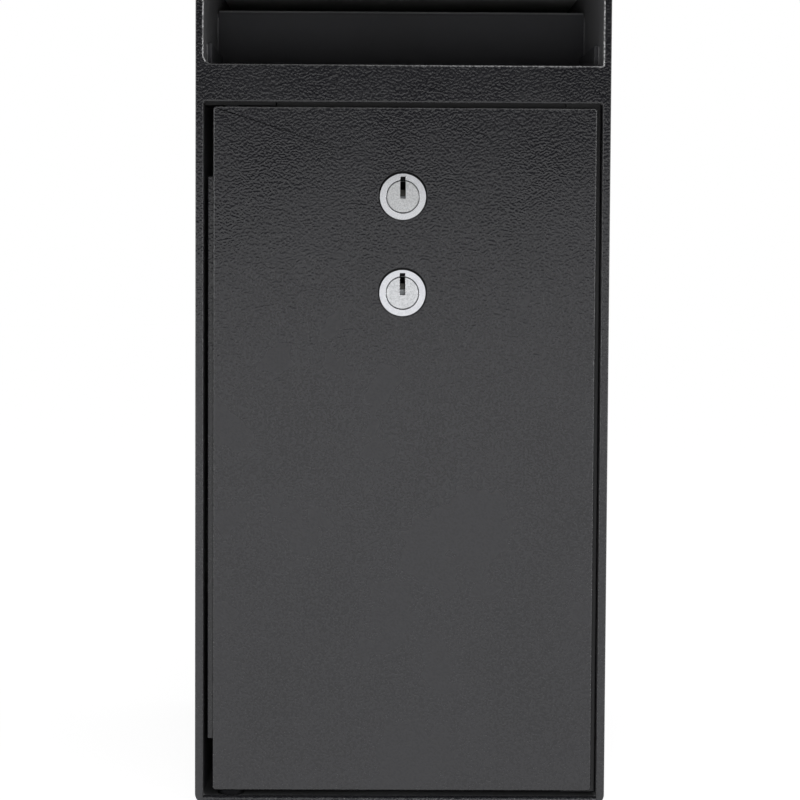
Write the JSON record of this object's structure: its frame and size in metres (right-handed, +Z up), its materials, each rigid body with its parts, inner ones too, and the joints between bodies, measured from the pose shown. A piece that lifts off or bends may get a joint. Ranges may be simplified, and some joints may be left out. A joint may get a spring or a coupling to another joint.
{
  "type": "drop safe with deposit hopper",
  "caption": "Narrow steel drop safe for under a counter: open deposit hopper with a baffle above a flush hinged door held by two key locks, each with its own sliding bolt.",
  "frame": {"origin": "on the surface the safe stands on, under the middle of the case", "axes": "+Z up; the door and the hopper face -Y; +X to the right as seen from the front"},
  "size_m": [0.152, 0.216, 0.312],
  "materials": {
    "powder_coat": "dark grey wrinkle powder coat, semi-gloss",
    "inner_coat": "smooth dark grey powder coat, satin",
    "lock_nickel": "bright satin nickel plate",
    "plug_nickel": "grained satin nickel plate",
    "plated_steel": "bright zinc plate",
    "dark_steel": "black oxide on ground steel",
    "wafer_metal": "stamped nickel silver"
  },
  "bodies": {
    "case": {"body_wrap": "powder_coat", "back_plate": "powder_coat", "front_crossbar": "powder_coat", "drop_chute": "inner_coat", "lock_jamb": "inner_coat", "top_stop": "inner_coat", "hinge_lintel": "inner_coat", "hinge_washer": "dark_steel"},
    "door": {"door_panel": "powder_coat", "hinge_stiffener": "inner_coat", "upper_hinge_block": "inner_coat", "lower_hinge_block": "inner_coat", "upper_hinge_pin": "dark_steel", "lower_hinge_pin": "dark_steel", "lock_plate": "plated_steel", "upper_lock_housing": "lock_nickel", "upper_lock_nut": "plated_steel", "upper_bolt_guide": "plated_steel", "upper_guide_spacer": "plated_steel", "upper_guide_screw": "plated_steel", "lower_lock_housing": "lock_nickel", "lower_lock_nut": "plated_steel", "lower_bolt_guide": "plated_steel", "lower_guide_spacer": "plated_steel", "lower_guide_screw": "plated_steel"},
    "upper_plug": {"upper_lock_plug": "plug_nickel", "upper_lock_wafer": "wafer_metal", "upper_lock_cam": "plated_steel", "upper_drive_pin": "dark_steel", "upper_cam_screw": "plated_steel"},
    "upper_slide": {"upper_bolt": "plated_steel"},
    "lower_plug": {"lower_lock_plug": "plug_nickel", "lower_lock_wafer": "wafer_metal", "lower_lock_cam": "plated_steel", "lower_drive_pin": "dark_steel", "lower_cam_screw": "plated_steel"},
    "lower_slide": {"lower_bolt": "plated_steel"}
  },
  "joints": [
    {"name": "door_hinge", "type": "hinge", "parent": "case", "child": "door", "pos_m": [-0.063, -0.1013, 0.0054], "axis": [0, 0, -1], "range_deg": [0, 108]},
    {"name": "upper_plug_turn", "type": "hinge", "parent": "door", "child": "upper_plug", "pos_m": [0, -0.1, 0.2253], "axis": [0, 1, 0], "range_deg": [0, 90]},
    {"name": "upper_bolt_slide", "type": "slide", "parent": "door", "child": "upper_slide", "axis": [1, 0, 0], "range_m": [0, 0.017]},
    {"name": "lower_plug_turn", "type": "hinge", "parent": "door", "child": "lower_plug", "pos_m": [0, -0.1, 0.19], "axis": [0, 1, 0], "range_deg": [0, 90]},
    {"name": "lower_bolt_slide", "type": "slide", "parent": "door", "child": "lower_slide", "axis": [1, 0, 0], "range_m": [0, 0.017]}
  ],
  "couplings": [
    {"joint": "upper_plug_turn", "follows": "upper_bolt_slide", "rad_per_m": 92.399},
    {"joint": "lower_plug_turn", "follows": "lower_bolt_slide", "rad_per_m": 92.399}
  ]
}
